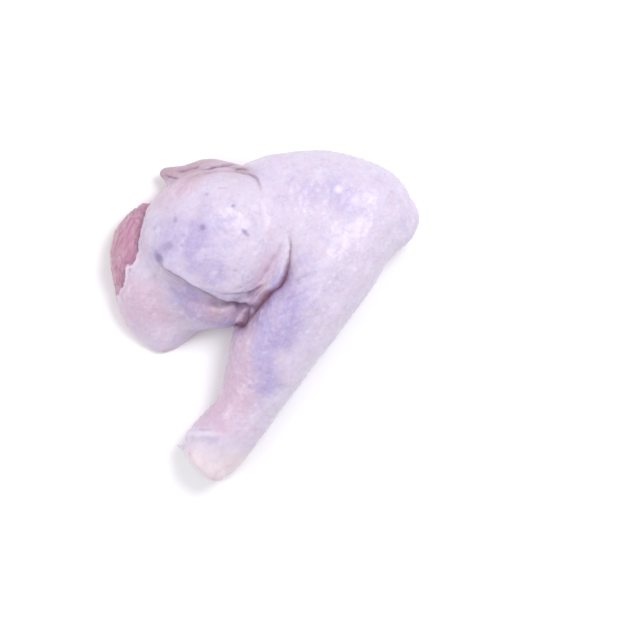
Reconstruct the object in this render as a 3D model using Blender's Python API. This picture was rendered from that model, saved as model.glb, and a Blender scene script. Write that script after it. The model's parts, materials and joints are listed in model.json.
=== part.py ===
"""A raw chicken leg lying on its inner side, folded at the knee: a plump thigh, the knee and a drumstick.

Metres, +Z up. The leg rests on z = 0 and its footprint is centred on the origin. Sizes below are in
millimetres, seen from above: the hip end of the thigh is at -X, the knee at +X and +Y, the hock at -Y.
"""

import math
from collections import namedtuple

import bmesh
import bpy
import numpy as np
from mathutils import Matrix, Vector

MM = 0.001

# A rounded mass of meat: its centre, its radii along, across and up, its turn in plan in degrees, and how
# cushion-like it is, where 2 is a ball and more is flatter on top.
Mass = namedtuple("Mass", "x y z along across high turn cushion", defaults=(0.0, 2.0))

# A cross-section of a long form: the middle of the section, its half width and its half height.
Section = namedtuple("Section", "x y z half_width half_height")

# A cross-section of the drumstick, measured along the straight shin from the hock.
Shank = namedtuple("Shank", "along half_width half_height height")

# The drumstick: the shin is a straight line in plan and the calf bulges on the side of the thigh.
SHIN_AT_HOCK = Vector((-17.2, -64.2))
SHIN_AT_KNEE = Vector((62.3, 42.4))
DRUMSTICK = (
    Shank(-1.0, 12.0, 9.8, 9.3),
    Shank(4.5, 13.0, 10.9, 10.0),
    Shank(12.0, 12.6, 10.7, 10.0),
    Shank(22.0, 12.0, 10.9, 10.1),
    Shank(33.0, 13.8, 12.8, 11.4),
    Shank(49.6, 17.6, 16.4, 14.1),
    Shank(67.0, 20.8, 19.2, 16.2),
    Shank(84.0, 23.2, 20.6, 16.9),
    Shank(100.0, 23.0, 20.1, 16.4),
    Shank(115.0, 18.4, 17.3, 14.4),
    Shank(124.0, 12.4, 13.7, 12.8),
)

# The two knobs of the shin bone at the hock, one above the other, stand a little out of the end.
HOCK_KNOBS = (
    Mass(-28.6, -58.6, 13.7, 10.2, 5.4, 5.7, -47.0, 2.5),
    Mass(-29.0, -59.2, 5.5, 9.8, 5.2, 5.3, -47.0, 2.5),
)

# The knee joins the thigh and the drumstick at the back, and the kneecap makes its corner.
KNEE = (
    Section(-14.6, 37.6, 16.0, 23.0, 18.2),
    Section(3.9, 41.6, 15.1, 26.6, 18.3),
    Section(22.3, 44.6, 14.2, 24.4, 17.8),
    Section(38.0, 44.0, 13.3, 20.0, 16.6),
    Section(45.0, 41.4, 12.6, 15.6, 14.6),
)
KNEECAP = Mass(44.0, 39.8, 12.4, 15.4, 13.4, 13.8, 20.0)

# The thigh: the big round muscle, the slope of skin towards the hip and the one behind them.
THIGH = Mass(-24.4, 33.0, 16.6, 30.4, 28.8, 24.0, 12.0, 2.1)
HIP_SLOPE = Mass(-33.6, 30.4, 5.3, 26.4, 24.6, 24.9, 80.0, 2.4)
BACK_SKIN = (
    Section(-39.0, 52.4, 6.7, 8.6, 10.7),
    Section(-28.9, 53.4, 8.0, 12.6, 12.5),
    Section(-15.6, 52.6, 8.5, 11.4, 12.9),
)

# Loose skin: the roll under the thigh's lower edge and the apron that runs down to the table at the lower left.
ROLL = (
    Section(-44.0, 17.5, 10.7, 12.0, 13.8),
    Section(-35.0, 10.0, 10.7, 12.0, 14.7),
    Section(-26.0, 6.4, 10.7, 10.6, 14.2),
    Section(-16.5, 7.4, 10.2, 9.4, 12.9),
    Section(-8.0, 12.0, 9.8, 8.0, 11.1),
)
APRON = (
    Section(-49.0, 26.0, 5.3, 13.0, 16.9),
    Section(-51.8, 13.0, 3.6, 15.0, 16.0),
    Section(-47.8, 2.6, 0.9, 14.4, 13.3),
    Section(-41.6, -5.2, 0.0, 12.0, 9.4),
)

# The corner of skin that sticks out behind the thigh, and the bare meat at the hip end, under the skin's edge.
SKIN_CORNER = (
    Section(-36.0, 57.4, 9.4, 5.6, 2.7),
    Section(-43.2, 59.8, 8.4, 4.4, 2.2),
    Section(-49.4, 60.6, 7.3, 2.4, 1.5),
)
BARE_MEAT = (
    Section(-53.6, 46.8, 6.2, 3.6, 7.1),
    Section(-57.0, 39.8, 7.1, 5.4, 9.3),
    Section(-60.0, 31.6, 7.5, 7.6, 11.0),
    Section(-61.0, 23.0, 7.1, 7.4, 10.7),
    Section(-61.4, 15.8, 5.7, 5.6, 8.4),
)

# The fold between thigh and drumstick, and the crease between the thigh and the roll under it, stay sharp.
SHARP_LINES = (
    ((-12.6, 2.4), (-6.4, 8.8), (1.4, 14.1), (4.8, 21.0), (6.4, 30.0)),
    ((-48.2, 24.8), (-41.5, 18.4), (-33.8, 12.5), (-26.9, 8.8), (-17.4, 5.9), (-9.0, 9.0)),
)
SHARP_WIDTH = 4.0

SIDES = 48
SECTION_STEP = 2.5
CAP_STEPS = 7
CAP_DEPTH = 0.62
VOXEL = 1.25
SOFT_ROUNDS = 12
CRISP_ROUNDS = 3
TRIANGLES = 8600

SKIN_COLOUR = (0.80, 0.66, 0.76, 1.0)
SKIN_ROUGHNESS = 0.38


def clear_scene():
    for obj in list(bpy.data.objects):
        bpy.data.objects.remove(obj, do_unlink=True)


def add_mass(bm, mass):
    """One rounded mass, as a stretched and turned ball."""
    ball = bmesh.ops.create_icosphere(bm, subdivisions=4, radius=1.0)["verts"]
    for vertex in ball:
        level, upright = math.hypot(vertex.co.x, vertex.co.y), abs(vertex.co.z)
        vertex.co /= (level**mass.cushion + upright**mass.cushion) ** (1.0 / mass.cushion)
    place = Matrix.Translation((mass.x, mass.y, mass.z))
    turn = Matrix.Rotation(math.radians(mass.turn), 4, "Z")
    stretch = Matrix.Diagonal((mass.along, mass.across, mass.high, 1.0))
    bmesh.ops.transform(bm, matrix=place @ turn @ stretch, verts=ball)


def smooth_values(table, step):
    """The rows of a table with a smooth curve through them, one row about every step along the first two or three."""
    rows = np.array(table, float)
    spans = np.linalg.norm(np.diff(rows[:, :3], axis=0), axis=1)
    slopes = np.gradient(rows, np.concatenate([[0.0], np.cumsum(spans)]), axis=0)
    made = [rows[:1]]
    for first in range(len(rows) - 1):
        count = max(1, round(spans[first] / step))
        t = (np.arange(1, count + 1) / count)[:, None]
        start, end = rows[first], rows[first + 1]
        leave, arrive = slopes[first] * spans[first], slopes[first + 1] * spans[first]
        made.append(
            (2 * t**3 - 3 * t**2 + 1) * start
            + (t**3 - 2 * t**2 + t) * leave
            + (3 * t**2 - 2 * t**3) * end
            + (t**3 - t**2) * arrive
        )
    return np.concatenate(made)


def ring_frame(middle, ahead, half_width, half_height):
    """Where a unit circle goes to become the cross-section at middle, facing ahead."""
    side = ahead.cross(Vector((0.0, 0.0, 1.0))).normalized()
    up = side.cross(ahead).normalized()
    frame = Matrix((side * half_width, up * half_height, ahead)).transposed().to_4x4()
    return Matrix.Translation(middle) @ frame


def add_limb(bm, sections):
    """A long form through its cross-sections, closed by a rounded cap at each end."""
    rows = smooth_values(sections, SECTION_STEP)
    middles = [Vector(row[:3]) for row in rows]
    frames = []
    for i, row in enumerate(rows):
        ahead = (middles[min(i + 1, len(rows) - 1)] - middles[max(i - 1, 0)]).normalized()
        frames.append((middles[i], ahead, row[3], row[4]))
    caps = []
    for (middle, ahead, width, height), way in ((frames[0], -1.0), (frames[-1], 1.0)):
        depth = CAP_DEPTH * min(width, height)
        cap = []
        for k in range(1, CAP_STEPS + 1):
            angle = 0.5 * math.pi * k / (CAP_STEPS + 0.25)
            out = middle + ahead * (way * depth * math.sin(angle))
            cap.append((out, ahead, width * math.cos(angle), height * math.cos(angle)))
        caps.append(cap)
    rings = []
    for middle, ahead, width, height in caps[0][::-1] + frames + caps[1]:
        frame = ring_frame(middle, ahead, width, height)
        made = bmesh.ops.create_circle(bm, segments=SIDES, radius=1.0, matrix=frame)
        rings.append(made["verts"])
    for ring, after in zip(rings, rings[1:]):
        for i in range(SIDES):
            j = (i + 1) % SIDES
            bm.faces.new((ring[i], ring[j], after[j], after[i]))
    bm.faces.new(rings[0][::-1])
    bm.faces.new(rings[-1])
    bmesh.ops.recalc_face_normals(bm, faces=bm.faces)


def drumstick_sections():
    """The drumstick's cross-sections: each one touches the straight shin with its outer side."""
    shin = (SHIN_AT_KNEE - SHIN_AT_HOCK).normalized()
    outwards = Vector((shin.y, -shin.x))
    sections = []
    for shank in DRUMSTICK:
        middle = SHIN_AT_HOCK + shin * shank.along - outwards * shank.half_width
        sections.append(Section(middle.x, middle.y, shank.height, shank.half_width, shank.half_height))
    return sections


def fused(bm, name):
    """The closed forms in bm as one skin, as an object that isn't in the scene yet."""
    mesh = bpy.data.meshes.new(name)
    bm.to_mesh(mesh)
    bm.free()
    obj = bpy.data.objects.new(name, mesh)
    bpy.context.scene.collection.objects.link(obj)
    remesh = obj.modifiers.new("fuse", "REMESH")
    remesh.mode = "VOXEL"
    remesh.voxel_size = VOXEL
    remesh.adaptivity = 0.0
    graph = bpy.context.evaluated_depsgraph_get()
    made = bpy.data.meshes.new_from_object(obj.evaluated_get(graph))
    bpy.data.objects.remove(obj)
    bpy.data.meshes.remove(mesh)
    return made


def points_of(mesh):
    points = np.zeros(len(mesh.vertices) * 3)
    mesh.vertices.foreach_get("co", points)
    return points.reshape(-1, 3)


def relax(mesh, rounds, share):
    """Each vertex moves by its share towards the middle of its neighbours, again and again."""
    points = points_of(mesh)
    edges = np.zeros(len(mesh.edges) * 2, np.int32)
    mesh.edges.foreach_get("vertices", edges)
    a, b = edges.reshape(-1, 2).T
    ends, others = np.concatenate([a, b]), np.concatenate([b, a])
    count = np.bincount(ends, minlength=len(points))[:, None]
    for _ in range(rounds):
        total = np.stack(
            [np.bincount(ends, weights=points[others, k], minlength=len(points)) for k in range(3)],
            axis=1,
        )
        points += share[:, None] * 0.5 * (total / count - points)
    mesh.vertices.foreach_set("co", points.ravel())


def offset(mesh, distance):
    """Every vertex moved along its normal."""
    normals = np.zeros(len(mesh.vertices) * 3)
    mesh.vertices.foreach_get("normal", normals)
    points = points_of(mesh) + distance * normals.reshape(-1, 3)
    mesh.vertices.foreach_set("co", points.ravel())
    mesh.update()


def filleted(bm, name, radius):
    """The forms in bm as one skin with every hollow between them rounded: it is grown and then shrunk again."""
    grown = fused(bm, name)
    relax(grown, CRISP_ROUNDS, np.ones(len(grown.vertices)))
    offset(grown, radius)
    bm = bmesh.new()
    bm.from_mesh(grown)
    bpy.data.meshes.remove(grown)
    shrunk = fused(bm, name)
    relax(shrunk, CRISP_ROUNDS, np.ones(len(shrunk.vertices)))
    offset(shrunk, -radius)
    return shrunk


def distance_in_plan(points, line):
    """How far each point is from a line of straight stretches, seen from above."""
    nearest = np.full(len(points), np.inf)
    flat = points[:, :2]
    for start, end in zip(line, line[1:]):
        start, end = np.array(start), np.array(end)
        along = np.clip((flat - start) @ (end - start) / ((end - start) @ (end - start)), 0.0, 1.0)
        nearest = np.minimum(nearest, np.linalg.norm(flat - start - along[:, None] * (end - start), axis=1))
    return nearest


def soft_share(mesh):
    """How freely each vertex is smoothed: little along the sharp folds."""
    points = points_of(mesh)
    share = np.ones(len(points))
    for line in SHARP_LINES:
        share *= 1.0 - 0.92 * np.exp(-((distance_in_plan(points, line) / SHARP_WIDTH) ** 2))
    return share


def settle(mesh):
    """What would reach below the table lies flat on it, and the footprint is centred on the origin."""
    points = points_of(mesh)
    points[:, 2] = np.maximum(points[:, 2], 0.0)
    low, high = points.min(axis=0), points.max(axis=0)
    points[:, :2] -= 0.5 * (low + high)[:2]
    mesh.vertices.foreach_set("co", (points * MM).ravel())
    mesh.update()


def skin_material():
    material = bpy.data.materials.new("chicken_skin")
    material.use_nodes = True
    shader = material.node_tree.nodes["Principled BSDF"]
    shader.inputs["Base Color"].default_value = SKIN_COLOUR
    shader.inputs["Roughness"].default_value = SKIN_ROUGHNESS
    shader.inputs["Metallic"].default_value = 0.0
    return material


def soft_groups():
    """The forms that flow into each other, group by group, and how round the hollows between them are.

    A fold stays between one group and the next.
    """
    return (
        (16.0, (THIGH, HIP_SLOPE), (KNEE, BACK_SKIN)),
        (12.0, (HIP_SLOPE,), (ROLL, APRON)),
        (12.0, (KNEECAP,), (KNEE[1:], drumstick_sections())),
    )


def build_leg():
    """The whole leg: the soft groups are fused and smoothed first, then the crisp edges are fused on."""
    soft = bmesh.new()
    for fillet, masses, limbs in soft_groups():
        group = bmesh.new()
        for mass in masses:
            add_mass(group, mass)
        for sections in limbs:
            add_limb(group, sections)
        smooth = filleted(group, "group", fillet)
        soft.from_mesh(smooth)
        bpy.data.meshes.remove(smooth)
    body = fused(soft, "soft_masses")
    relax(body, SOFT_ROUNDS, soft_share(body))

    whole = bmesh.new()
    whole.from_mesh(body)
    bpy.data.meshes.remove(body)
    for mass in HOCK_KNOBS:
        add_mass(whole, mass)
    for sections in (SKIN_CORNER, BARE_MEAT):
        add_limb(whole, sections)
    leg_mesh = fused(whole, "chicken_leg")
    relax(leg_mesh, CRISP_ROUNDS, np.ones(len(leg_mesh.vertices)))
    settle(leg_mesh)
    leg_mesh.shade_smooth()

    leg = bpy.data.objects.new("chicken_leg", leg_mesh)
    bpy.context.scene.collection.objects.link(leg)
    leg_mesh.materials.clear()
    leg_mesh.materials.append(skin_material())
    leg_mesh.calc_loop_triangles()
    fewer = leg.modifiers.new("fewer_faces", "DECIMATE")
    fewer.ratio = min(1.0, TRIANGLES / len(leg_mesh.loop_triangles))
    leg.modifiers.new("triangles", "TRIANGULATE")
    return leg


clear_scene()
build_leg()
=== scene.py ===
"""The looks of a raw chicken leg that lies skin side up on a pale table.

Lengths are in millimetres until a mesh is finished. The leg's forms and lines are placed as seen from above,
with the hip end of the thigh at -X, the knee at +X and +Y, and the hock at -Y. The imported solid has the
middle of the leg's footprint at its origin, so the finished leg moves there.
"""

import json
import math
import random
from collections import namedtuple

import bmesh
import bpy
import numpy as np
from mathutils import Matrix, Vector, kdtree, noise

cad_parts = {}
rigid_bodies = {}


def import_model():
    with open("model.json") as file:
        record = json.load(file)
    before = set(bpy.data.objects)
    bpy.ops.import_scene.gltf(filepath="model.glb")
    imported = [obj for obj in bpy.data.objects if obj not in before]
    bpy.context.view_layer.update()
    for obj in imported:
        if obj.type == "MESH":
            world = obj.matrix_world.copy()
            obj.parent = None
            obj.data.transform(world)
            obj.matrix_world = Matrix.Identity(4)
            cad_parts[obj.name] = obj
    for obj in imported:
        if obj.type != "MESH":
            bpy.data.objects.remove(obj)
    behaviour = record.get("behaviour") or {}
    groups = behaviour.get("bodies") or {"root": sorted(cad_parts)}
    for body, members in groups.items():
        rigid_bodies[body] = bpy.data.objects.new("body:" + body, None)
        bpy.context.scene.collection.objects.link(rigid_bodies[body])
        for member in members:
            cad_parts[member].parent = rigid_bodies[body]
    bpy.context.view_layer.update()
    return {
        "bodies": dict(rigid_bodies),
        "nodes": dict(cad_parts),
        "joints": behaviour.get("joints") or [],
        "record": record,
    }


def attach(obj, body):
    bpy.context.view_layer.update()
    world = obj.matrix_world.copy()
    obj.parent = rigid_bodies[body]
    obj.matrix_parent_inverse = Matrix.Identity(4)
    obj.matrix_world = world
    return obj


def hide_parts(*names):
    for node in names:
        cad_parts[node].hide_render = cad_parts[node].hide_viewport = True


MM = 0.001
NODE = "chicken_leg"
FOOTPRINT_MIDDLE = (-4.93, 0.97)

# A rounded mass of meat: its centre, its radii along, across and up, its turn in plan in degrees, and how
# cushion-like it is, where 2 is a ball and more is flatter on top.
Mass = namedtuple("Mass", "x y z along across high turn cushion", defaults=(0.0, 2.0))

# A cross-section of a long form: the middle of the section, its half width and its half height.
Section = namedtuple("Section", "x y z half_width half_height")

# A cross-section of the drumstick, measured along the straight shin from the hock.
Shank = namedtuple("Shank", "along half_width half_height height")

# Masses and long forms under one skin, and the radius that the hollows between them are rounded to.
Group = namedtuple("Group", "fillet masses limbs")

# A fold of skin along a guide line. The skin swells up on the line's left by the height, which fades over the
# reach, and leans over the line. On its right it dips by the depth and rises again over the width. Start and
# end are the parts of the line over which the fold fades in and out, and dark is how dark the painted shade
# at its bottom is.
Fold = namedtuple("Fold", "height reach lean depth width start end dark guide")

# A long soft swelling along a guide line, or a hollow where its height is below 0.
Ridge = namedtuple("Ridge", "height width start end guide")

# A round or oval patch in plan: its middle, its strength, its half width across and along, and its turn.
Patch = namedtuple("Patch", "x y strength across along turn", defaults=(0.0,))

# Random unevenness: how high it stands, the size of its patches, its seed, how far the patches are drawn out,
# their direction in plan, and how many layers it has, each with patches half the size of the last.
Relief = namedtuple("Relief", "height size seed stretch turn octaves", defaults=(1.0, 0.0, 2))

# A round lamp over the table: where it is, its width and its power.
Lamp = namedtuple("Lamp", "name place width power")

# The line of the shin, and the drumstick along it.
SHIN_AT_HOCK = Vector((-17.2, -64.2))
SHIN_AT_KNEE = Vector((62.3, 42.4))
DRUMSTICK = (
    Shank(-1.0, 12.0, 9.8, 9.3),
    Shank(4.5, 13.0, 10.9, 10.0),
    Shank(12.0, 12.6, 10.7, 10.0),
    Shank(22.0, 12.0, 10.9, 10.1),
    Shank(33.0, 13.8, 12.8, 11.4),
    Shank(49.6, 17.6, 16.4, 14.1),
    Shank(67.0, 20.8, 19.2, 16.2),
    Shank(84.0, 23.2, 20.6, 16.9),
    Shank(100.0, 23.0, 20.1, 16.4),
    Shank(115.0, 18.4, 17.3, 14.4),
    Shank(124.0, 12.4, 13.7, 12.8),
)
HOCK_KNOBS = (
    Mass(-28.6, -58.6, 13.7, 10.2, 5.4, 5.7, -47.0, 2.5),
    Mass(-29.0, -59.2, 5.5, 9.8, 5.2, 5.3, -47.0, 2.5),
)
HOCK_TAG = (
    Section(-36.6, -53.9, 9.6, 1.6, 1.4),
    Section(-39.2, -53.0, 9.4, 1.0, 0.9),
    Section(-41.0, -52.5, 9.3, 0.8, 0.6),
)

# The knee and the thigh.
KNEE = (
    Section(-14.6, 37.6, 16.0, 23.0, 18.2),
    Section(3.9, 41.6, 15.1, 26.6, 18.3),
    Section(22.3, 44.6, 14.2, 24.4, 17.8),
    Section(38.0, 44.0, 13.3, 20.0, 16.6),
    Section(45.0, 41.4, 12.6, 15.6, 14.6),
)
KNEECAP = Mass(44.0, 39.8, 12.4, 15.4, 13.4, 13.8, 20.0)
THIGH = Mass(-24.4, 33.0, 16.6, 30.4, 28.8, 24.0, 12.0, 2.1)
HIP_SLOPE = Mass(-33.6, 30.4, 5.3, 26.4, 24.6, 24.9, 80.0, 2.4)

# The loose skin: along the thigh's back, in two rolls by the gap, down to the table, and a thin corner.
BACK_SKIN = (
    Section(-39.0, 52.4, 6.7, 8.6, 10.7),
    Section(-28.9, 53.4, 8.0, 12.6, 12.5),
    Section(-15.6, 52.6, 8.5, 11.4, 12.9),
)
ROLL = (
    Section(-44.0, 17.5, 10.7, 12.0, 13.8),
    Section(-35.0, 10.0, 10.7, 12.0, 14.7),
    Section(-26.0, 6.4, 10.7, 10.6, 14.2),
    Section(-16.5, 7.4, 10.2, 9.4, 12.9),
    Section(-8.0, 12.0, 9.8, 8.0, 11.1),
)
SECOND_ROLL = (
    Section(-28.0, 12.4, 19.0, 2.6, 7.0),
    Section(-21.0, 9.9, 18.6, 3.8, 8.4),
    Section(-13.0, 9.6, 18.0, 4.0, 8.4),
    Section(-6.0, 12.6, 17.0, 3.6, 7.6),
    Section(0.0, 18.0, 16.0, 3.0, 6.4),
)
APRON = (
    Section(-49.0, 26.0, 5.3, 13.0, 16.9),
    Section(-51.8, 13.0, 3.6, 15.0, 16.0),
    Section(-47.8, 2.6, 0.9, 14.4, 13.3),
    Section(-41.6, -5.2, 0.0, 12.0, 9.4),
)
SKIN_CORNER = (
    Section(-36.0, 57.4, 9.8, 5.8, 2.0),
    Section(-43.2, 59.8, 8.2, 4.8, 1.5),
    Section(-49.4, 60.6, 6.6, 2.5, 1.0),
)

# The muscle that the hip's cut leaves bare, and its thin rim by the table.
BARE_MEAT = (
    Section(-53.5, 45.6, 6.2, 2.9, 6.4),
    Section(-57.0, 39.8, 7.1, 5.4, 9.3),
    Section(-60.0, 31.6, 7.5, 7.6, 11.0),
    Section(-61.0, 23.0, 7.1, 7.4, 10.7),
    Section(-61.4, 15.8, 5.7, 5.6, 8.4),
)
MEAT_FRINGE = (
    Section(-60.2, 42.0, 3.4, 1.0, 1.6),
    Section(-64.6, 37.0, 3.4, 1.4, 2.4),
    Section(-66.7, 30.0, 3.3, 1.5, 2.8),
    Section(-66.8, 22.0, 3.2, 1.4, 2.8),
    Section(-66.2, 14.0, 2.8, 1.3, 2.2),
    Section(-65.0, 7.0, 2.6, 1.2, 1.6),
)

# How finely a long form is made: the sides of its rings, how far apart they are, and a cap's rings.
# A cap is as deep as this part of the smaller half size of the section that it closes.
SIDES = 72
SECTION_STEP = 1.6
CAP_STEPS = 12
CAP_DEPTH = 0.62

# How finely the forms are fused and smoothed: while their hollows are rounded, and then as one leg.
SOFT_VOXEL = 1.2
FINE_VOXEL = 0.67
SOFT_ROUNDS = 4
FINE_ROUNDS = 7
CRISP_ROUNDS = 4

# The line of the deep fold between the thigh and the drumstick.
DEEP_FOLD = (
    (-19.6, -4.6), (-16.8, -3.2), (-13.2, 0.4), (-9.2, 4.8), (-4.4, 9.8),
    (1.4, 14.1), (4.3, 20.7), (5.9, 28.1), (6.4, 40.0),
)

# The folds of skin: those by the deep fold and the rolls, then those of the thigh's back and the corner, and
# then small creases on the drumstick and by the roll.
FOLDS = (
    Fold(1.0, 10.0, 0.3, 1.9, 3.8, 0.14, 0.12, 0.35, (
        (-48.6, 26.0), (-44.1, 19.7), (-36.3, 14.6), (-30.1, 10.9),
        (-23.2, 7.8), (-17.0, 6.1), (-11.5, 6.0), (-7.6, 7.4),
    )),
    Fold(0.3, 5.0, 0.1, 0.5, 1.5, 0.40, 0.30, 0.1, (
        (-29.5, 11.9), (-22.3, 10.3), (-12.9, 10.4), (-5.5, 13.6), (0.0, 19.0),
    )),
    Fold(0.3, 7.0, 0.3, 3.0, 2.2, 0.10, 0.55, 1.0, DEEP_FOLD),
    Fold(0.8, 4.0, 0.4, 0.9, 1.6, 0.15, 0.60, 0.35, (
        (-40.0, 55.6), (-31.0, 59.9), (-23.6, 60.7), (-16.6, 60.9), (-8.0, 57.6), (-5.0, 50.9), (-4.0, 42.0),
    )),
    Fold(0.55, 2.6, 0.1, 0.5, 1.6, 0.40, 0.50, 0.0, (
        (-33.0, 56.6), (-37.6, 53.4), (-42.6, 49.6),
    )),
    Fold(0.55, 2.6, 0.1, 0.5, 1.6, 0.40, 0.50, 0.0, (
        (-38.5, 54.6), (-43.0, 51.4), (-47.0, 47.0), (-49.4, 41.4),
    )),
    Fold(0.70, 2.0, 0.5, 0.9, 1.0, 0.30, 0.40, 0.4, (
        (-42.0, 60.0), (-35.3, 61.8), (-28.4, 64.2),
    )),
    Fold(0.70, 2.0, 0.5, 0.9, 1.0, 0.30, 0.40, 0.4, (
        (-33.0, 60.9), (-25.0, 62.6), (-17.0, 63.9), (-10.0, 62.2),
    )),
    Fold(0.50, 1.5, 0.3, 0.6, 0.8, 0.40, 0.40, 0.2, (
        (-47.6, 60.6), (-42.0, 58.4), (-38.0, 57.4),
    )),
    Fold(0.35, 1.5, 0.2, 0.6, 0.9, 0.30, 0.30, 0.9, (
        (-20.5, 61.9), (-15.5, 61.7), (-10.0, 60.3),
    )),
    Fold(0.45, 2.2, 0.1, 0.4, 1.4, 0.30, 0.60, 0.0, (
        (3.0, 6.0), (8.0, 9.6), (16.0, 10.6),
    )),
    Fold(0.40, 2.2, 0.1, 0.4, 1.4, 0.30, 0.60, 0.0, (
        (5.0, 12.0), (11.0, 17.0), (20.0, 19.4),
    )),
    Fold(0.40, 2.0, 0.1, 0.4, 1.2, 0.40, 0.50, 0.0, (
        (-44.5, 16.5), (-40.0, 13.2), (-36.4, 8.4),
    )),
)

# The widest that the skin turns over a fold's edge.
WIDEST_TURN = 2.6

# A hollow and a swelling in the skin under the roll, and then the long muscles of the drumstick.
RIDGES = (
    Ridge(-1.7, 4.6, 0.40, 0.40, ((-45.0, 14.0), (-41.6, 9.4), (-39.2, 4.8), (-38.0, 0.0), (-37.6, -5.0))),
    Ridge(2.3, 4.2, 0.25, 0.30, ((-36.0, 7.0), (-33.0, 3.6), (-26.0, 1.2), (-19.0, 0.6), (-13.0, 2.0))),
    Ridge(0.5, 3.0, 0.30, 0.30, ((50.0, 37.0), (36.0, 16.0), (20.0, -6.0), (2.0, -30.0), (-8.0, -44.0))),
    Ridge(-0.6, 4.0, 0.30, 0.30, ((38.0, 34.0), (26.0, 14.0), (10.0, -8.0), (-6.0, -30.0))),
    Ridge(0.6, 6.0, 0.30, 0.40, ((12.0, 24.0), (10.0, 6.0), (0.0, -10.0), (-12.0, -26.0))),
)

# The edge of the skin round the hip's cut: where it lies, and how high above the table. Bare meat is
# below it.
HIP_EDGE = (
    (-38.0, 60.0, 1.5), (-44.0, 56.0, 4.0), (-49.0, 51.2, 9.0), (-52.5, 46.7, 15.0), (-55.1, 38.5, 18.4),
    (-57.7, 28.3, 18.4), (-60.2, 22.2, 17.6), (-61.4, 16.0, 14.5), (-63.6, 9.9, 9.5), (-65.2, 3.0, 5.5),
    (-64.0, -5.0, 2.5),
)

# Between these two parts of the edge's length, whatever is this far outside the edge is bare too.
BARE_FROM = 0.24
BARE_TO = 0.80
BARE_BEYOND = 0.6

# Elsewhere the thigh's skin ends a little above the table, higher up by the gap between thigh and drumstick.
THIGH_SIDE = Patch(-38.0, 26.0, 1.0, 34.0, 34.0)
THIGH_HEM = 2.2
GAP_SIDE = Patch(-17.0, -4.0, 4.5, 8.0, 16.0)

# The edge of the skin round the hock's knuckle, the dent behind the knuckle, and how far along -Y the hock
# begins and has wholly begun.
HOCK_EDGE = (
    (-39.5, -48.2), (-35.5, -46.3), (-29.7, -45.9), (-24.8, -46.3), (-19.5, -47.4), (-13.0, -50.0),
    (-6.0, -54.0),
)
HOCK_DENT = Patch(-27.7, -52.6, 0.7, 4.0, 5.5, -47.0)
HOCK_FROM = 38.0
HOCK_WHOLLY = 44.0

# The unevenness of the skin: its slack, the drumstick's muscle under it, its wrinkles, its creases, and the
# streaks on one part of it.
SLACK = Relief(0.35, 9.0, 21)
MUSCLE_UNDER = Relief(0.30, 5.0, 25, 3.0, 53.0)
WRINKLES = Relief(0.14, 2.6, 22, 2.2, -35.0, 3)
CREASES = Relief(0.20, 8.0, 27, 3.0, -37.0, 1)
STREAKS = Relief(0.22, 1.8, 24, 7.0, 62.0)
STREAKED_SKIN = Patch(-53.0, 3.0, 1.0, 11.0, 15.0, -60)

# The goose bumps: how far apart they are at least, their radius, their height, and the seed of their places.
GOOSE_SPACING = 2.7
GOOSE_RADIUS = 0.8
GOOSE_HEIGHT = 0.30
GOOSE_SEED = 5

# The meat at the hip: its fibres and its swell, the size of its bundles, how they are drawn out along Y, the
# seed of their places, and how wide and how deep the seams between them are.
FIBRES = Relief(0.35, 1.8, 11, 6.0, 70.0, 3)
SWELL = Relief(0.60, 6.0, 12, 2.5, 70.0)
BUNDLE_SIZE = 9.0
BUNDLE_SHAPE = (1.0, 0.55, 1.0)
BUNDLE_SEED = 9
SEAM_WIDTH = 2.0
SEAM_DEPTH = 0.9

# The thigh's bare cut face on the side that the leg lies on, how far it stands above the table, and its
# fibres.
CUT_FACE = Patch(-22.0, 27.0, 1.0, 22.0, 30.0)
CUT_HEIGHT = 0.6
CUT_FIBRES = Relief(0.3, 2.0, 42, 6.0, 20.0)

# Dark marks in the skin, and how deep they are.
SPOTS = (
    Patch(-29.1, 36.6, 0.90, 1.4, 1.7),
    Patch(-11.8, 34.5, 0.80, 0.9, 2.4, -47),
    Patch(-16.8, 45.5, 0.75, 0.8, 1.0),
    Patch(-27.5, 50.2, 0.45, 0.8, 0.9),
    Patch(-40.1, 39.8, 0.45, 0.9, 1.5, 80),
    Patch(-49.0, 36.9, 0.35, 0.8, 1.0),
    Patch(-43.5, 29.3, 0.60, 2.4, 3.0, 30),
    Patch(-37.7, 29.6, 0.40, 0.7, 0.8),
    Patch(-16.0, 19.4, 0.45, 0.6, 0.8, 60),
    Patch(-22.0, 19.4, 0.40, 0.6, 0.7),
    Patch(-21.2, 52.8, 0.35, 0.5, 2.2),
    Patch(-47.2, 24.7, 1.00, 1.6, 3.2, -55),
)
SPOT_DEPTH = 0.25

# Where the muscle shows bluish through thin skin, and where lilac is painted shade.
LILAC_AND_SHADE_PATCHES = (
    Patch(-37.0, 28.6, 0.56, 14.0, 20.0, -20),
    Patch(-26.0, 34.0, 0.28, 16.0, 16.0),
    # Painted shade along the crease above the roll.
    Patch(-37.0, 12.0, 0.45, 3.0, 10.0, -30),
    Patch(-28.0, 3.0, 0.90, 7.5, 16.0, -5),
    # Lilac, and painted shade, on the drumstick by the fold between thigh and drumstick.
    Patch(0.0, 0.0, 1.30, 12.0, 22.0, 60),
    # Lilac, and painted shade, down the drumstick.
    Patch(-6.0, -27.0, 0.60, 9.0, 11.0, 55),
    Patch(22.0, 50.0, 0.60, 8.0, 20.0, -12),
)
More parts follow.
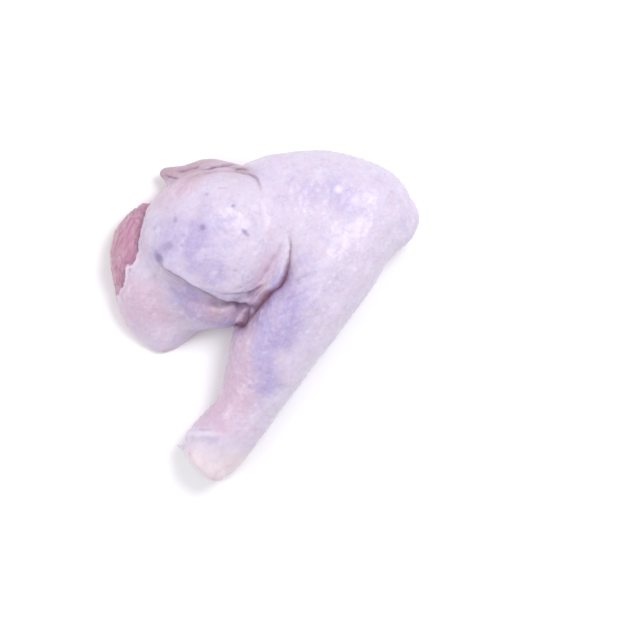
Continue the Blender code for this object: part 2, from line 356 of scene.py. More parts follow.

# Where the skin is pinker, partly as painted shade on the drumstick, and where it is pinker and darker.
PINK_AND_SHADE_PATCHES = (
    Patch(-56.0, 5.6, 0.90, 13.0, 18.0, -55),
    # Pink, and painted shade, along the drumstick's left side.
    Patch(-19.0, -20.0, 0.90, 8.0, 22.0, 68),
    # Pink, and painted shade, on the shank.
    Patch(-20.0, -38.0, 0.85, 11.0, 14.0, 56),
    Patch(-6.0, 16.0, 0.60, 4.0, 9.0, 50),
    Patch(-44.0, 50.0, 0.50, 4.0, 14.0, 38),
    Patch(-36.0, 60.0, 0.70, 10.0, 20.0, 8),
    Patch(-1.0, 33.0, 0.35, 6.0, 16.0, 80),
)
ROSY_PATCHES = (
    Patch(-30.0, 65.5, 0.80, 7.0, 16.0, 4),
    Patch(-48.0, 61.0, 0.85, 6.0, 9.0),
    Patch(-13.0, 61.0, 0.60, 2.0, 6.0, -10),
    Patch(-24.0, 3.0, 0.65, 6.0, 15.0, -5),
    Patch(-5.0, 12.6, 0.70, 3.0, 10.0, 48),
)

# Colours as the eye sees them, in sRGB from 0 to 255.
PALE = (209, 199, 219)
LILAC = (172, 159, 202)
PINK = (202, 175, 196)
ROSY = (178, 147, 161)
# Whitish for fat, goose bumps and the knuckle's mottle, and for the painted highlight on raised rims.
WHITISH = (230, 222, 234)
# Mauve for the veins, and for the painted shade in hollows.
MAUVE = (136, 112, 148)
# Dark red for the painted shade at the bottoms of folds.
FOLD_SHADE_RED = (112, 60, 82)
SPOT = (148, 130, 172)
MEAT = (180, 131, 157)
MEAT_DARK = (154, 100, 130)
MEAT_LIGHT = (196, 153, 172)
SEAM = (206, 182, 192)
PEACH = (214, 178, 180)
CARTILAGE = (193, 181, 204)
CREAM = (221, 207, 214)

# How far apart the low bumps are that only the material shows, besides the goose bumps of the mesh.
PORE_SPACING = 2.1

# The table and the light, in metres and watts. The table is just below the leg, so that the two never touch.
TABLE_REACH = 3.0
TABLE_BELOW = 0.0002
TABLE_COLOUR = (0.94, 0.94, 0.95, 1.0)
ROOM_COLOUR = (0.98, 0.98, 1.0, 1.0)
ROOM_LIGHT = 0.68
LAMPS = (
    Lamp("key", (0.36, 0.32, 0.75), 0.4, 4.2),
    Lamp("fill", (-0.6, -0.1, 0.6), 0.6, 2.1),
)

# The photograph's frame: how wide it is at the leg's middle height, and where its middle is in plan. The
# camera's height is in metres, and its sensor is measured as its lens is, in the camera's own millimetres.
FRAME_WIDTH = 262.4
FRAME_MIDDLE = (23.2, -1.6)
LEG_LEVEL = 18.0
CAMERA_HEIGHT = 1.3
SENSOR_WIDTH = 36.0


def smoothstep(value, start, end):
    """0 up to start, 1 from end on, and an even slope between them."""
    t = np.clip((value - start) / (end - start), 0.0, 1.0)
    return t * t * (3.0 - 2.0 * t)


def bell(value, width):
    """1 at 0, and close to 0 beyond twice the width."""
    return np.exp(-((value / width) ** 2))


def curve_through(guide, step=1.0):
    """A smooth curve through the guide's points, as rows about a step apart."""
    ends = [2 * np.array(guide[0]) - guide[1], 2 * np.array(guide[-1]) - guide[-2]]
    knots = np.array([ends[0], *guide, ends[1]], float)
    made = [knots[1]]
    for a, b, c, d in zip(knots, knots[1:], knots[2:], knots[3:]):
        count = max(1, round(float(np.linalg.norm((c - b)[:3])) / step))
        for t in np.arange(1, count + 1) / count:
            bend = (2 * a - 5 * b + 4 * c - d) * t**2 + (3 * b - a - 3 * c + d) * t**3
            made.append(0.5 * (2 * b + (c - a) * t + bend))
    return np.array(made)


def add_mass(bm, mass):
    """One rounded mass, as a stretched and turned ball."""
    ball = bmesh.ops.create_icosphere(bm, subdivisions=5, radius=1.0)["verts"]
    for vertex in ball:
        level, upright = math.hypot(vertex.co.x, vertex.co.y), abs(vertex.co.z)
        vertex.co /= (level**mass.cushion + upright**mass.cushion) ** (1.0 / mass.cushion)
    place = Matrix.Translation((mass.x, mass.y, mass.z))
    turn = Matrix.Rotation(math.radians(mass.turn), 4, "Z")
    stretch = Matrix.Diagonal((mass.along, mass.across, mass.high, 1.0))
    bmesh.ops.transform(bm, matrix=place @ turn @ stretch, verts=ball)


def ring_frame(middle, ahead, half_width, half_height):
    """Where a unit circle goes to become the cross-section at middle, facing ahead."""
    side = ahead.cross(Vector((0.0, 0.0, 1.0))).normalized()
    up = side.cross(ahead).normalized()
    frame = Matrix((side * half_width, up * half_height, ahead)).transposed().to_4x4()
    return Matrix.Translation(middle) @ frame


def cap_frames(end, way):
    """The cross-sections that round off a long form at an end: forwards for a way of 1, backwards for -1."""
    middle, ahead, width, height = end
    depth = CAP_DEPTH * min(width, height)
    cap = []
    for k in range(1, CAP_STEPS + 1):
        angle = 0.5 * math.pi * k / (CAP_STEPS + 0.25)
        out = middle + ahead * (way * depth * math.sin(angle))
        cap.append((out, ahead, width * math.cos(angle), height * math.cos(angle)))
    return cap


def add_limb(bm, sections):
    """A long form through its cross-sections, closed by a rounded cap at each end."""
    rows = curve_through(sections, SECTION_STEP)
    middles = [Vector(row[:3]) for row in rows]
    frames = []
    for i, row in enumerate(rows):
        ahead = (middles[min(i + 1, len(rows) - 1)] - middles[max(i - 1, 0)]).normalized()
        frames.append((middles[i], ahead, row[3], row[4]))
    first_cap, last_cap = cap_frames(frames[0], -1.0), cap_frames(frames[-1], 1.0)
    rings = []
    for middle, ahead, width, height in first_cap[::-1] + frames + last_cap:
        place = ring_frame(middle, ahead, width, height)
        ring = bmesh.ops.create_circle(bm, segments=SIDES, radius=1.0, matrix=place)["verts"]
        rings.append(list({edge for vertex in ring for edge in vertex.link_edges}))
    for ring, after in zip(rings, rings[1:]):
        bmesh.ops.bridge_loops(bm, edges=ring + after)
    bmesh.ops.holes_fill(bm, edges=rings[0] + rings[-1], sides=0)
    bmesh.ops.recalc_face_normals(bm, faces=bm.faces)


def drumstick_sections():
    """The drumstick's cross-sections: each one touches the straight shin with its outer side."""
    shin = (SHIN_AT_KNEE - SHIN_AT_HOCK).normalized()
    outwards = Vector((shin.y, -shin.x))
    sections = []
    for shank in DRUMSTICK:
        middle = SHIN_AT_HOCK + shin * shank.along - outwards * shank.half_width
        sections.append(Section(middle.x, middle.y, shank.height, shank.half_width, shank.half_height))
    return sections


def form_of(masses, limbs):
    """A bmesh of closed forms that may run into each other."""
    bm = bmesh.new()
    for mass in masses:
        add_mass(bm, mass)
    for sections in limbs:
        add_limb(bm, sections)
    return bm


def fused(bm, name, voxel):
    """The closed forms in bm as one skin."""
    mesh = bpy.data.meshes.new(name)
    bm.to_mesh(mesh)
    bm.free()
    whole = bpy.data.objects.new(name, mesh)
    bpy.context.scene.collection.objects.link(whole)
    remesh = whole.modifiers.new("fuse", "REMESH")
    remesh.mode = "VOXEL"
    remesh.voxel_size = voxel
    made = bpy.data.meshes.new_from_object(whole.evaluated_get(bpy.context.evaluated_depsgraph_get()))
    bpy.data.objects.remove(whole)
    bpy.data.meshes.remove(mesh)
    return made


class Surface:
    """A mesh's points and normals, for moving many points at once."""

    def __init__(self, mesh):
        self.mesh = mesh
        self.points = np.zeros(len(mesh.vertices) * 3)
        mesh.vertices.foreach_get("co", self.points)
        self.points = self.points.reshape(-1, 3)
        edges = np.zeros(len(mesh.edges) * 2, np.int64)
        mesh.edges.foreach_get("vertices", edges)
        a, b = edges.reshape(-1, 2).T
        self.ends, self.others = np.concatenate([a, b]), np.concatenate([b, a])
        self.valence = np.bincount(self.ends, minlength=len(self.points))
        self.refresh()

    def refresh(self):
        """The mesh brought up to the points, and the normals read again."""
        self.mesh.vertices.foreach_set("co", self.points.ravel())
        self.mesh.update()
        normals = np.zeros(len(self.points) * 3)
        self.mesh.vertices.foreach_get("normal", normals)
        self.normals = normals.reshape(-1, 3)

    def around(self, column):
        """The sum of a value over each point's neighbours."""
        return np.bincount(self.ends, weights=column[self.others], minlength=len(column))

    def blurred(self, values, rounds):
        """Values spread over the surface, each round half way to the mean of a point's neighbours."""
        values = np.array(values, float)
        flat = values.reshape(len(self.points), -1)
        for _ in range(rounds):
            sums = np.stack([self.around(column) for column in flat.T], axis=1)
            flat = 0.5 * (flat + sums / self.valence[:, None])
        return flat.reshape(values.shape)

    def relax(self, rounds):
        """The surface made smoother."""
        self.points = self.blurred(self.points, rounds)
        self.refresh()

    def push(self, amount):
        """Every point moved outwards by its amount."""
        self.points += np.reshape(amount, (-1, 1)) * self.normals
        self.refresh()

    def near(self, guide):
        """Where each point lies by a guide line, in plan.

        Returns how far to the line's left it is, which way left is there, and how far along the line it is,
        from 0 to 1.
        """
        line = curve_through(guide)
        flat = self.points[:, :2]
        lengths = np.linalg.norm(np.diff(line, axis=0), axis=1)
        starts = np.concatenate([[0.0], np.cumsum(lengths)])
        nearest = np.full(len(flat), np.inf)
        across, along = np.zeros(len(flat)), np.zeros(len(flat))
        left = np.zeros_like(flat)
        for i, (a, b) in enumerate(zip(line, line[1:])):
            ahead = (b - a) / lengths[i]
            leftwards = np.array((-ahead[1], ahead[0]))
            t = np.clip((flat - a) @ ahead, 0.0, lengths[i])
            apart = flat - a - t[:, None] * ahead
            distance = np.linalg.norm(apart, axis=1)
            closer = distance < nearest
            side = np.where(apart[closer] @ leftwards < 0.0, -1.0, 1.0)
            nearest[closer] = distance[closer]
            across[closer] = side * distance[closer]
            along[closer] = (starts[i] + t[closer]) / starts[-1]
            left[closer] = leftwards
        return across, left, along

    def noise(self, size, seed, stretch=1.0, turn=0.0, octaves=2):
        """Soft random values from about -1 to 1, in patches of the given size.

        The patches are drawn out by stretch, along a direction that is turned from X.
        """
        a = math.radians(turn)
        x, y, z = self.points.T
        u = (x * math.cos(a) + y * math.sin(a)) / stretch
        v = y * math.cos(a) - x * math.sin(a)
        places = np.stack((u, v, z), axis=1) / size + 31.7 * seed
        return np.array([noise.fractal(Vector(place), 1.0, 2.0, octaves) for place in places])

    def unevenness(self, relief):
        """The noise that a relief describes, as high as the relief says."""
        _, size, seed, stretch, turn, octaves = relief
        return relief.height * self.noise(size, seed, stretch, turn, octaves)

    def patch(self, patch):
        """A soft patch, as strong as it says in its middle."""
        a = math.radians(patch.turn)
        dx, dy = self.points[:, 0] - patch.x, self.points[:, 1] - patch.y
        u = dx * math.cos(a) + dy * math.sin(a)
        v = dy * math.cos(a) - dx * math.sin(a)
        return patch.strength * np.exp(-((u / patch.along) ** 2) - (v / patch.across) ** 2)

    def patches(self, several):
        """Several soft patches together."""
        return sum(self.patch(patch) for patch in several)

    def facing_up(self):
        """1 where the surface faces up, and 0 where it faces down."""
        return smoothstep(self.normals[:, 2], -0.1, 0.4)

    def attribute(self, name, values):
        """Values from 0 to 1 that the mesh holds for its material."""
        made = self.mesh.attributes.new(name, "FLOAT", "POINT")
        made.data.foreach_set("value", np.clip(values, 0.0, 1.0).astype(np.float32))


def filleted(bm, name, radius):
    """The forms in bm as one skin, grown and shrunk again, so that each hollow between them is rounded."""
    for distance in (radius, -radius):
        surface = Surface(fused(bm, name, SOFT_VOXEL))
        surface.relax(SOFT_ROUNDS)
        surface.push(np.full(len(surface.points), distance))
        bm = bmesh.new()
        bm.from_mesh(surface.mesh)
        bpy.data.meshes.remove(surface.mesh)
    return bm


def add_all(bm, other):
    """The forms of another bmesh, added to bm."""
    mesh = bpy.data.meshes.new("added")
    other.to_mesh(mesh)
    bm.from_mesh(mesh)
    bpy.data.meshes.remove(mesh)
    other.free()


def soft_body():
    """The skin-covered masses. Those of one group flow into each other, and folds stay between the groups."""
    groups = (
        Group(14.0, (THIGH, HIP_SLOPE), (KNEE,)),
        Group(11.0, (HIP_SLOPE,), (ROLL, APRON)),
        Group(12.0, (KNEECAP,), (KNEE[1:], drumstick_sections())),
        Group(3.0, (), (BACK_SKIN, SKIN_CORNER)),
        Group(1.5, (), (SECOND_ROLL,)),
    )
    body = bmesh.new()
    for group in groups:
        add_all(body, filleted(form_of(group.masses, group.limbs), "group", group.fillet))
    surface = Surface(fused(body, "soft_body", FINE_VOXEL))
    surface.relax(FINE_ROUNDS)
    return surface.mesh


def fused_leg():
    """The whole leg as one surface."""
    whole = bmesh.new()
    whole.from_mesh(soft_body())
    add_all(whole, form_of(HOCK_KNOBS, (BARE_MEAT, HOCK_TAG, MEAT_FRINGE)))
    surface = Surface(fused(whole, "leg", FINE_VOXEL))
    surface.relax(CRISP_ROUNDS)
    return surface


def raise_folds(surface):
    """Every fold of skin pushed up, and how much painted shade each point gets at the bottom of a fold."""
    fold_shade = np.zeros(len(surface.points))
    for seed, fold in enumerate(FOLDS):
        across, left, along = surface.near(fold.guide)
        across = across + 0.4 * surface.noise(5.0, seed)
        width = fold.width * (1.0 + 0.4 * surface.noise(6.0, seed + 80))
        turn = np.minimum(width, WIDEST_TURN)
        here = faded(along, fold) * surface.facing_up()
        here *= 1.0 + 0.4 * surface.noise(7.0, seed + 50)
        swell = np.exp(-np.maximum(across, 0.0) / fold.reach) * smoothstep(across, -0.5 * turn, 0.8 * turn)
        below = smoothstep(-across, -0.7 * turn, 0.2 * turn)
        dip = np.exp(np.minimum(across, 0.0) / (1.3 * width)) * below
        lip = here * fold.lean * bell(across - 0.7 * turn, turn)
        surface.points[:, :2] -= lip[:, None] * left
        surface.push(here * (fold.height * swell - fold.depth * dip))
        # Painted shade at the bottom of the fold, as dark as the fold says.
        bottom = np.exp(np.minimum(across, 0.0) / turn) * below
        fold_shade = np.maximum(fold_shade, fold.dark * np.clip(here, 0.0, 1.0) * bottom)
    return fold_shade


def raise_ridges(surface):
    """Every long swelling pushed up, and every long hollow pushed in."""
    for seed, ridge in enumerate(RIDGES):
        across, _, along = surface.near(ridge.guide)
        here = faded(along, ridge) * surface.facing_up()
        uneven = across + 0.8 * surface.noise(8.0, seed + 110)
        surface.push(ridge.height * here * bell(uneven, ridge.width))


def faded(along, form):
    """1 along a fold or a ridge, and down to 0 over its start and its end."""
    return smoothstep(along, 0.0, form.start) * smoothstep(1.0 - along, 0.0, form.end)


def bare_meat(surface):
    """How much each point is bare meat, and how far inside the edge at the hip it lies.

    The meat is bare below the skin's ragged edge at the hip, and below the thigh's hem.
    """
    places = np.array(HIP_EDGE)
    by_hip, _, along = surface.near(places[:, :2])
    steps = np.linalg.norm(np.diff(places[:, :2], axis=0), axis=1)
    lengths = np.concatenate([[0.0], np.cumsum(steps)])
    edge = np.interp(along, lengths / lengths[-1], places[:, 2])
    # The height of the edge counts up to about 13 mm inside its line.
    at_hip = smoothstep(-by_hip, -14.0, -12.0)
    hem = THIGH_HEM * np.minimum(1.0, 2.0 * surface.patch(THIGH_SIDE)) + surface.patch(GAP_SIDE)
    hem = np.maximum(hem, edge * at_hip) * (1.0 + 0.12 * surface.noise(9.0, 61))
    ragged = 0.6 * surface.noise(4.5, 63) + 0.35 * surface.noise(1.8, 62)
    below = hem + ragged - surface.points[:, 2]
    between = 40.0 * np.minimum(along - BARE_FROM, BARE_TO - along)
    beyond = np.minimum(-by_hip - BARE_BEYOND + ragged, between)
    return smoothstep(np.maximum(below, beyond), -0.2, 0.3), by_hip


def raise_skin_edge(surface, meat):
    """The skin's edge round the bare meat raised, with the meat beside it lower.

    Returns how near to the edge each point is, which also places the painted highlight along the skin's edge.
    """
    edge = surface.blurred(meat, 8)
    by_edge = 4.0 * edge * (1.0 - edge)
    surface.push(0.6 * by_edge * (1.0 - meat) - 0.5 * by_edge * meat)
    return by_edge


def shape_hock(surface):
    """The skin's soft ledge round the hock's knuckle.

    Returns how much each point is knuckle, and how much it is the ledge's rim, where a highlight is painted.
    """
    across, _, along = surface.near(HOCK_EDGE)
    past = -across + 0.7 * surface.noise(3.5, 9)
    at_hock = smoothstep(-surface.points[:, 1], HOCK_FROM, HOCK_WHOLLY)
    ledge = 1.0 - smoothstep(along, 0.30, 0.60)
    surface.push(at_hock * ledge * (0.8 * bell(past - 1.8, 1.8) - 0.3 * bell(past + 0.4, 1.2)))
    surface.push(-surface.patch(HOCK_DENT) * surface.facing_up())
    # Where the ledge's rim gets its painted highlight.
    rim = at_hock * ledge * bell(past - 1.2, 1.3)
    knuckle = at_hock * smoothstep(past, -0.5 - 4.0 * (1.0 - ledge), 1.4 + 8.0 * (1.0 - ledge))
    return knuckle, rim


def hollowness(surface):
    """How far each point lies below the surface round it."""
    sunk = surface.blurred(surface.points, 12) - surface.points
    return np.einsum("ij,ij->i", sunk, surface.normals)


def skin_relief(surface, meat, hock):
    """The skin's slack, wrinkles, creases and goose bumps.

    Returns how much each point is goose bump, and how much it is streak.
    """
    skin = 1.0 - meat
    across, _, _ = surface.near(DEEP_FOLD)
    drumstick = smoothstep(-across, -1.0, 7.0)
    surface.push(surface.unevenness(SLACK) * skin)
    surface.push(surface.unevenness(MUSCLE_UNDER) * skin * drumstick)
    surface.push(surface.unevenness(WRINKLES) * skin)
    streaks = surface.patch(STREAKED_SKIN) * surface.noise(*STREAKS[1:])
    surface.push(STREAKS.height * streaks * skin)
    creases = np.maximum(0.0, 1.0 - 3.5 * np.abs(surface.noise(*CREASES[1:])))
    creased = smoothstep(surface.noise(17.0, 28), -0.1, 0.35)
    surface.push(-CREASES.height * creases**2 * creased * skin * (1.0 - hock))
    follicles = distance_to(surface, scattered(surface, GOOSE_SPACING, GOOSE_SEED))
    bumpy = (0.35 + 0.65 * drumstick) * (0.3 + 0.7 * smoothstep(surface.noise(14.0, 6), -0.5, 0.4))
    bumps = bell(follicles, GOOSE_RADIUS) * bumpy * skin * (1.0 - hock)
    surface.push(GOOSE_HEIGHT * bumps)
    return bumps, streaks


def meat_relief(surface, meat):
    """The bundles of muscle at the hip, with seams between them. Returns how much each point is seam."""
    longer = np.array(BUNDLE_SHAPE)
    places = scattered(surface, BUNDLE_SIZE, BUNDLE_SEED)
    middles = kdtree_of([tuple(longer * point) for point in places])
    moved = longer * surface.points + 1.4 * surface.noise(5.0, 15)[:, None]
    gaps = []
    for point in moved.tolist():
        (_, _, first), (_, _, second) = middles.find_n(point, 2)
        gaps.append(second - first)
    between = 1.0 - smoothstep(np.array(gaps), 0.0, SEAM_WIDTH)
    seam = between * smoothstep(surface.noise(8.0, 16), -0.8, 0.0)
    surface.push(-SEAM_DEPTH * seam * meat)
    surface.push(surface.unevenness(FIBRES) * meat)
    surface.push(surface.unevenness(SWELL) * meat)
    return seam


def dent_spots(surface):
    """The dark marks pushed a little into the skin. Returns how much each point is mark."""
    uneven = 0.2 * surface.noise(1.6, 51)
    shapes = []
    for spot in SPOTS:
        shape = smoothstep(surface.patch(spot) / spot.strength + uneven, 0.08, 0.95)
        shapes.append(spot.strength * shape)
    spots = np.max(shapes, axis=0) * surface.facing_up()
    surface.push(-SPOT_DEPTH * spots)
    return spots


def flatten_under(surface, meat):
    """The side that the leg lies on, made flat, with the thigh's cut face a little above the skin round it.

    Returns how much each point is bare meat, with the cut face.
    """
    surface.points[:, 2] = np.maximum(surface.points[:, 2], 0.0)
    surface.refresh()
    ragged = surface.patch(CUT_FACE) + 0.06 * surface.noise(4.0, 41)
    cut = smoothstep(ragged, 0.42, 0.48) * smoothstep(-surface.points[:, 2], -0.6, -0.1)
    surface.points[:, 2] += cut * (CUT_HEIGHT + surface.unevenness(CUT_FIBRES))
    surface.refresh()
    return np.maximum(meat, cut)


def scattered(surface, spacing, seed):
    """Points spread over the surface, none closer to another than the spacing."""
    draw = random.Random(seed)
    order = list(range(len(surface.points)))
    draw.shuffle(order)
    cells, chosen = {}, []
    near_cells = [(x, y, z) for x in (-1, 0, 1) for y in (-1, 0, 1) for z in (-1, 0, 1)]
    places = surface.points.tolist()
    for i in order:
        x, y, z = places[i]
        key = (int(x // spacing), int(y // spacing), int(z // spacing))
        free = all(
            (x - ox) ** 2 + (y - oy) ** 2 + (z - oz) ** 2 >= spacing**2
            for dx, dy, dz in near_cells
            for ox, oy, oz in cells.get((key[0] + dx, key[1] + dy, key[2] + dz), ())
        )
        if free:
            cells.setdefault(key, []).append((x, y, z))
            chosen.append((x, y, z))
    return chosen


def kdtree_of(places):
    """A search tree that finds the nearest of the places."""
    tree = kdtree.KDTree(len(places))
    for i, point in enumerate(places):
        tree.insert(Vector(point), i)
    tree.balance()
    return tree


def distance_to(surface, places):
    """How far each point of the surface is from the nearest of the places."""
    tree = kdtree_of(places)
    return np.array([tree.find(point)[2] for point in surface.points.tolist()])


def leg_piece():
    """The whole leg: its skin with every fold, and the bare meat where the skin is cut away."""
    surface = fused_leg()
    fold_shade = raise_folds(surface)
    raise_ridges(surface)
    meat, by_hip = bare_meat(surface)
    by_edge = raise_skin_edge(surface, meat)
    hock, hock_rim_highlight = shape_hock(surface)
    hollow = hollowness(surface)
    bumps, streaks = skin_relief(surface, meat, hock)
    seam = meat_relief(surface, meat)
    spots = dent_spots(surface)
    meat = flatten_under(surface, meat)

    # Where the skin is close to the table, where fat fringes the meat, and where hollows get painted shade.
    low = smoothstep(-surface.points[:, 2], -7.0, -1.0)
    level = surface.points[:, 2] - 8.2 + 3.0 * surface.noise(6.0, 52) + 1.2 * surface.noise(2.5, 54)
    fringe = smoothstep(-by_hip + 2.5 * surface.noise(5.0, 53), 3.0, 6.5) * bell(level, 3.8)
    mottle = surface.noise(9.0, 32)
    shade_shown = (1.0 - 0.6 * by_edge) * (1.0 - 0.7 * meat) * (1.0 - 0.6 * hock)
    for name, values in (
        ("meat", meat),
        # Painted highlight along the raised skin edge by the meat and along the hock ledge's rim.
        ("rim_highlight", np.maximum(by_edge * (1.0 - meat), hock_rim_highlight)),
        ("pale_meat", smoothstep(-by_hip, 1.0, 7.0)),
        ("seam", seam),
        ("fringe", fringe * meat),
        ("hock", hock),
        ("cream", smoothstep(-surface.points[:, 1] + 2.0 * mottle, 46.0, 60.0)),
        ("spots", spots),
        # Painted shade at the bottoms of the folds.
        ("fold_shade", fold_shade),
        # Painted shade in hollows, weaker by the skin's edge, on the meat and on the knuckle.
        ("hollow", smoothstep(hollow, 0.025, 0.34) * shade_shown),
        ("bumps", bumps),
        # Lilac from the muscle under the skin, with painted shade in some patches.
        ("lilac", surface.patches(LILAC_AND_SHADE_PATCHES) + 0.15 * surface.noise(11.0, 31)),
        # Pink, with painted shade in some patches.
        ("pink", surface.patches(PINK_AND_SHADE_PATCHES) + 0.5 * low + 0.2 * mottle + 0.3 * streaks),
        ("rosy", surface.patches(ROSY_PATCHES) + 0.2 * low + 0.2 * mottle),
    ):
        surface.attribute(name, values)
    return finished(surface, "leg_skin", skin_material())


def finished(surface, name, material):
    """The surface as a piece in metres, with the middle of the leg's footprint at the origin."""
    surface.points[:, :2] -= FOOTPRINT_MIDDLE
    surface.points *= MM
    surface.refresh()
    surface.mesh.shade_smooth()
    surface.mesh.materials.clear()
    surface.mesh.materials.append(material)
    piece = bpy.data.objects.new(name, surface.mesh)
    bpy.context.scene.collection.objects.link(piece)
    return piece


def linear(colour):
    """An sRGB colour as the linear RGBA that a shader takes."""
    made = []
    for value in colour:
        value /= 255.0
        made.append(value / 12.92 if value <= 0.04045 else ((value + 0.055) / 1.055) ** 2.4)
    return (*made, 1.0)


class Shading:
    """A material's node tree."""

    def __init__(self, name):
        self.material = bpy.data.materials.new(name)
        self.material.use_nodes = True
        self.tree = self.material.node_tree
        self.shader = self.tree.nodes["Principled BSDF"]
        self.place = self.tree.nodes.new("ShaderNodeTexCoord").outputs["Object"]

    def feed(self, value, socket):
        """A link if value is another node's output, and a fixed value if not."""
        if isinstance(value, bpy.types.NodeSocket):
            self.tree.links.new(value, socket)
        else:
            socket.default_value = value

    def node(self, kind, inputs=None, **settings):
        """A new node with its settings and its inputs."""
        made = self.tree.nodes.new(kind)
        for name, value in settings.items():
            setattr(made, name, value)
        for name, value in (inputs or {}).items():
            self.feed(value, made.inputs[name])
        return made

    def maths(self, operation, first, second=0.0):
        """A sum, a product or the like of two values."""
        made = self.node("ShaderNodeMath", operation=operation)
        self.feed(first, made.inputs[0])
        self.feed(second, made.inputs[1])
        return made.outputs[0]

    def value(self, name, most=1.0):
        """A value that the mesh holds, with its 1 brought down to most."""
        held = self.node("ShaderNodeAttribute", attribute_name=name).outputs["Fac"]
        return held if most == 1.0 else self.maths("MULTIPLY", held, most)

    def noise(self, size, detail, roughness, stretch=None, turn=0.0):
        """Noise in patches of the given size, drawn out by stretch along a direction turned from X."""
        place = self.place
        if stretch:
            turned = (0.0, 0.0, math.radians(turn))
            inputs = {"Vector": place, "Rotation": turned, "Scale": (stretch, 1.0, 1.0)}
            place = self.node("ShaderNodeMapping", inputs, vector_type="TEXTURE").outputs["Vector"]
        inputs = {"Vector": place, "Scale": 1.0 / (size * MM), "Detail": detail, "Roughness": roughness}
        return self.node("ShaderNodeTexNoise", inputs).outputs["Fac"]

    def pores(self, spacing):
        """Low round bumps, about a spacing apart, as 1 in their middles and 0 between them."""
        inputs = {"Vector": self.place, "Scale": 1.0 / (spacing * MM)}
        return self.ramp(self.node("ShaderNodeTexVoronoi", inputs).outputs["Distance"], 0.6, 0.0)

    def ramp(self, value, start, end, low=0.0, high=1.0):
        """Low up to start, high from end on, and an even slope between them."""
        inputs = {"Value": value, "From Min": start, "From Max": end, "To Min": low, "To Max": high}
        return self.node("ShaderNodeMapRange", inputs, interpolation_type="SMOOTHSTEP").outputs["Result"]

    def mix(self, share, first, second):
        """The first colour where share is 0, and the second where it is 1."""
        made = self.node("ShaderNodeMix", data_type="RGBA", blend_type="MIX")
        sockets = {socket.identifier: socket for socket in made.inputs}
        self.feed(share, sockets["Factor_Float"])
        self.feed(first, sockets["A_Color"])
        self.feed(second, sockets["B_Color"])
        return next(socket for socket in made.outputs if socket.identifier == "Result_Color")

    def bump(self, height, strength, distance, under=None):
        """A bumpy normal, its bumps up to a distance high in mm, on top of the one under it."""
        inputs = {"Height": height, "Strength": strength, "Distance": distance * MM}
        if under is not None:
            inputs["Normal"] = under
        return self.node("ShaderNodeBump", inputs).outputs["Normal"]


def skin_material():
    """Pale, moist raw skin, with the knuckle and the bare meat where the mesh says so."""
    paint = Shading("raw_chicken_skin")
    patches = paint.noise(9.0, detail=3.0, roughness=0.55)
    marble = paint.noise(4.5, detail=4.0, roughness=0.62, stretch=1.8, turn=53.0)
    fine = paint.noise(1.3, detail=3.0, roughness=0.6)
    colour = skin_colour(paint, patches, marble, fine)
    colour = paint.mix(paint.value("hock"), colour, knuckle_colour(paint, marble))
    # Painted highlight: whitish along the raised rims.
    colour = paint.mix(paint.value("rim_highlight", 0.55), colour, linear(WHITISH))
    colour = paint.mix(paint.value("meat"), colour, meat_colour(paint))
    # Painted shade: mauve in the hollows.
    colour = paint.mix(paint.value("hollow", 0.8), colour, linear(MAUVE))
    # Painted shade: dark red at the bottoms of the folds.
    colour = paint.mix(paint.value("fold_shade"), colour, linear(FOLD_SHADE_RED))

    shader = paint.shader
    paint.feed(colour, shader.inputs["Base Color"])
    paint.feed(paint.ramp(fine, 0.3, 0.7, 0.38, 0.54), shader.inputs["Roughness"])
    paint.feed(skin_bumps(paint, patches), shader.inputs["Normal"])
    shader.inputs["Subsurface Weight"].default_value = 0.3
    shader.inputs["Subsurface Radius"].default_value = (1.0, 0.55, 0.5)
    shader.inputs["Subsurface Scale"].default_value = 1.6 * MM
    shader.inputs["IOR"].default_value = 1.4
    shader.inputs["Coat Weight"].default_value = 0.2
    shader.inputs["Coat Roughness"].default_value = 0.22
    return paint.material


def skin_colour(paint, patches, marble, fine):
    """Skin: lilac, pink and rosy in soft patches, marbled with fat, and finely veined."""
    lilac = paint.maths("ADD", paint.value("lilac"), paint.ramp(patches, 0.3, 0.7, -0.18, 0.18))
    pink = paint.maths("ADD", paint.value("pink"), paint.ramp(patches, 0.35, 0.7, 0.18, -0.18))
    # Lilac, partly painted shade where its patches say so.
    colour = paint.mix(paint.ramp(lilac, 0.0, 1.0), linear(PALE), linear(LILAC))
    # Pink, partly painted shade where its patches say so.
    colour = paint.mix(paint.ramp(pink, 0.0, 1.0), colour, linear(PINK))
    colour = paint.mix(paint.ramp(paint.value("rosy"), 0.05, 1.0), colour, linear(ROSY))
    colour = paint.mix(paint.ramp(marble, 0.5, 0.75, 0.0, 0.38), colour, linear(WHITISH))
    colour = paint.mix(paint.ramp(marble, 0.5, 0.25, 0.0, 0.40), colour, linear(PINK))
    colour = paint.mix(paint.ramp(fine, 0.35, 0.75, 0.0, 0.16), colour, linear(WHITISH))
    winding = paint.noise(8.0, detail=3.0, roughness=0.6)
    veins = paint.maths("ABSOLUTE", paint.maths("SUBTRACT", winding, 0.5))
    colour = paint.mix(paint.ramp(veins, 0.02, 0.0, 0.0, 0.12), colour, linear(MAUVE))
    colour = paint.mix(paint.value("bumps", 0.15), colour, linear(WHITISH))
    return paint.mix(paint.value("spots"), colour, linear(SPOT))


def knuckle_colour(paint, marble):
    """The hock's knuckle: cartilage, creamier towards its end, and mottled."""
    colour = paint.mix(paint.value("cream"), linear(CARTILAGE), linear(CREAM))
    colour = paint.mix(paint.ramp(marble, 0.45, 0.8, 0.0, 0.4), colour, linear(WHITISH))
    return paint.mix(paint.ramp(marble, 0.5, 0.3, 0.0, 0.5), colour, linear(PINK))


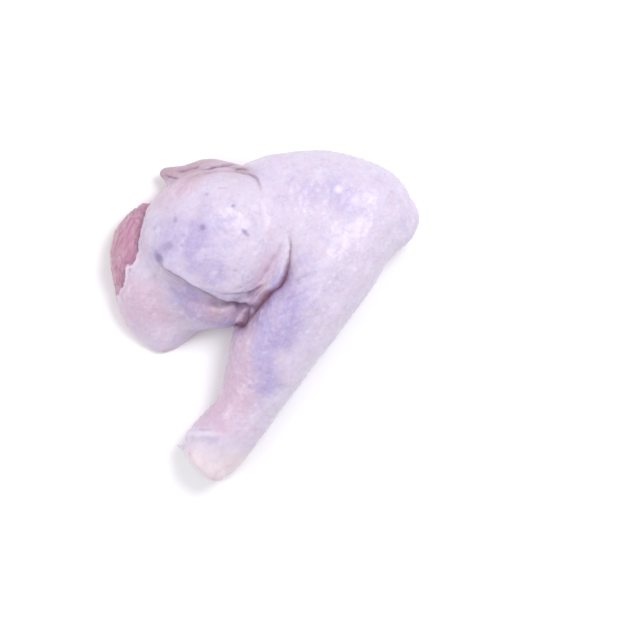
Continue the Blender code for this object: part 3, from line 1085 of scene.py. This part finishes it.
def meat_colour(paint):
    """Bare muscle: bundles of fibres between pale seams, paler towards the outer edge."""
    fibres = paint.noise(0.9, detail=3.0, roughness=0.65, stretch=6.0, turn=70.0)
    streaks = paint.noise(4.0, detail=3.0, roughness=0.55, stretch=2.0, turn=70.0)
    colour = paint.mix(paint.ramp(streaks, 0.4, 0.75, 0.0, 0.8), linear(MEAT), linear(MEAT_LIGHT))
    colour = paint.mix(paint.value("pale_meat", 0.55), colour, linear(MEAT_LIGHT))
    fat = paint.maths("MULTIPLY", paint.value("fringe"), paint.ramp(fibres, 0.35, 0.6, 0.4, 0.9))
    colour = paint.mix(fat, colour, linear(PEACH))
    colour = paint.mix(paint.ramp(fibres, 0.6, 0.3, 0.0, 0.6), colour, linear(MEAT_DARK))
    seam = paint.maths("MULTIPLY", paint.value("seam"), paint.ramp(streaks, 0.3, 0.7, 0.2, 0.7))
    return paint.mix(seam, colour, linear(SEAM))


def skin_bumps(paint, patches):
    """A fine grain all over, and low goose bumps on the skin but not on the knuckle or the bare meat."""
    grain = paint.bump(paint.noise(0.55, detail=3.0, roughness=0.6), strength=0.4, distance=0.12)
    bare = paint.maths("MAXIMUM", paint.value("meat"), paint.value("hock"))
    goose = paint.maths("MULTIPLY", paint.pores(PORE_SPACING), paint.maths("SUBTRACT", 1.0, bare))
    goose = paint.maths("MULTIPLY", goose, paint.ramp(patches, 0.35, 0.65, 0.35, 1.0))
    return paint.bump(goose, strength=0.6, distance=0.3, under=grain)


def table_top():
    """The pale table under the leg."""
    bm = bmesh.new()
    bmesh.ops.create_grid(bm, x_segments=1, y_segments=1, size=TABLE_REACH)
    mesh = bpy.data.meshes.new("table_top")
    bm.to_mesh(mesh)
    bm.free()
    top = bpy.data.objects.new("table_top", mesh)
    bpy.context.scene.collection.objects.link(top)
    top.location.z = -TABLE_BELOW
    material = bpy.data.materials.new("pale_table")
    material.use_nodes = True
    shader = material.node_tree.nodes["Principled BSDF"]
    shader.inputs["Base Color"].default_value = TABLE_COLOUR
    shader.inputs["Roughness"].default_value = 0.85
    mesh.materials.append(material)


def hang_lamp(lamp):
    """One round lamp that shines on the leg."""
    light = bpy.data.lights.new(lamp.name, "AREA")
    light.shape = "DISK"
    light.size = lamp.width
    light.energy = lamp.power
    hung = bpy.data.objects.new(lamp.name, light)
    hung.location = lamp.place
    hung.rotation_euler = (-Vector(lamp.place)).to_track_quat("-Z", "Y").to_euler()
    bpy.context.scene.collection.objects.link(hung)


def studio():
    """Plain soft light from all round, and a lamp on each side of the leg."""
    world = bpy.data.worlds.new("soft_room")
    world.use_nodes = True
    background = world.node_tree.nodes["Background"]
    background.inputs["Color"].default_value = ROOM_COLOUR
    background.inputs["Strength"].default_value = ROOM_LIGHT
    bpy.context.scene.world = world
    for lamp in LAMPS:
        hang_lamp(lamp)
    bpy.context.scene.view_settings.view_transform = "Standard"


def photo_camera():
    """The camera, straight above, with the leg where the photograph has it."""
    data = bpy.data.cameras.new("camera")
    data.sensor_width = SENSOR_WIDTH
    data.lens = SENSOR_WIDTH * (CAMERA_HEIGHT - LEG_LEVEL * MM) / (FRAME_WIDTH * MM)
    camera = bpy.data.objects.new("camera", data)
    camera.location = (FRAME_MIDDLE[0] * MM, FRAME_MIDDLE[1] * MM, CAMERA_HEIGHT)
    bpy.context.scene.collection.objects.link(camera)
    bpy.context.scene.camera = camera


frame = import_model()
table_top()
studio()
photo_camera()
leg = leg_piece()
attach(leg, "root")
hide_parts(NODE)
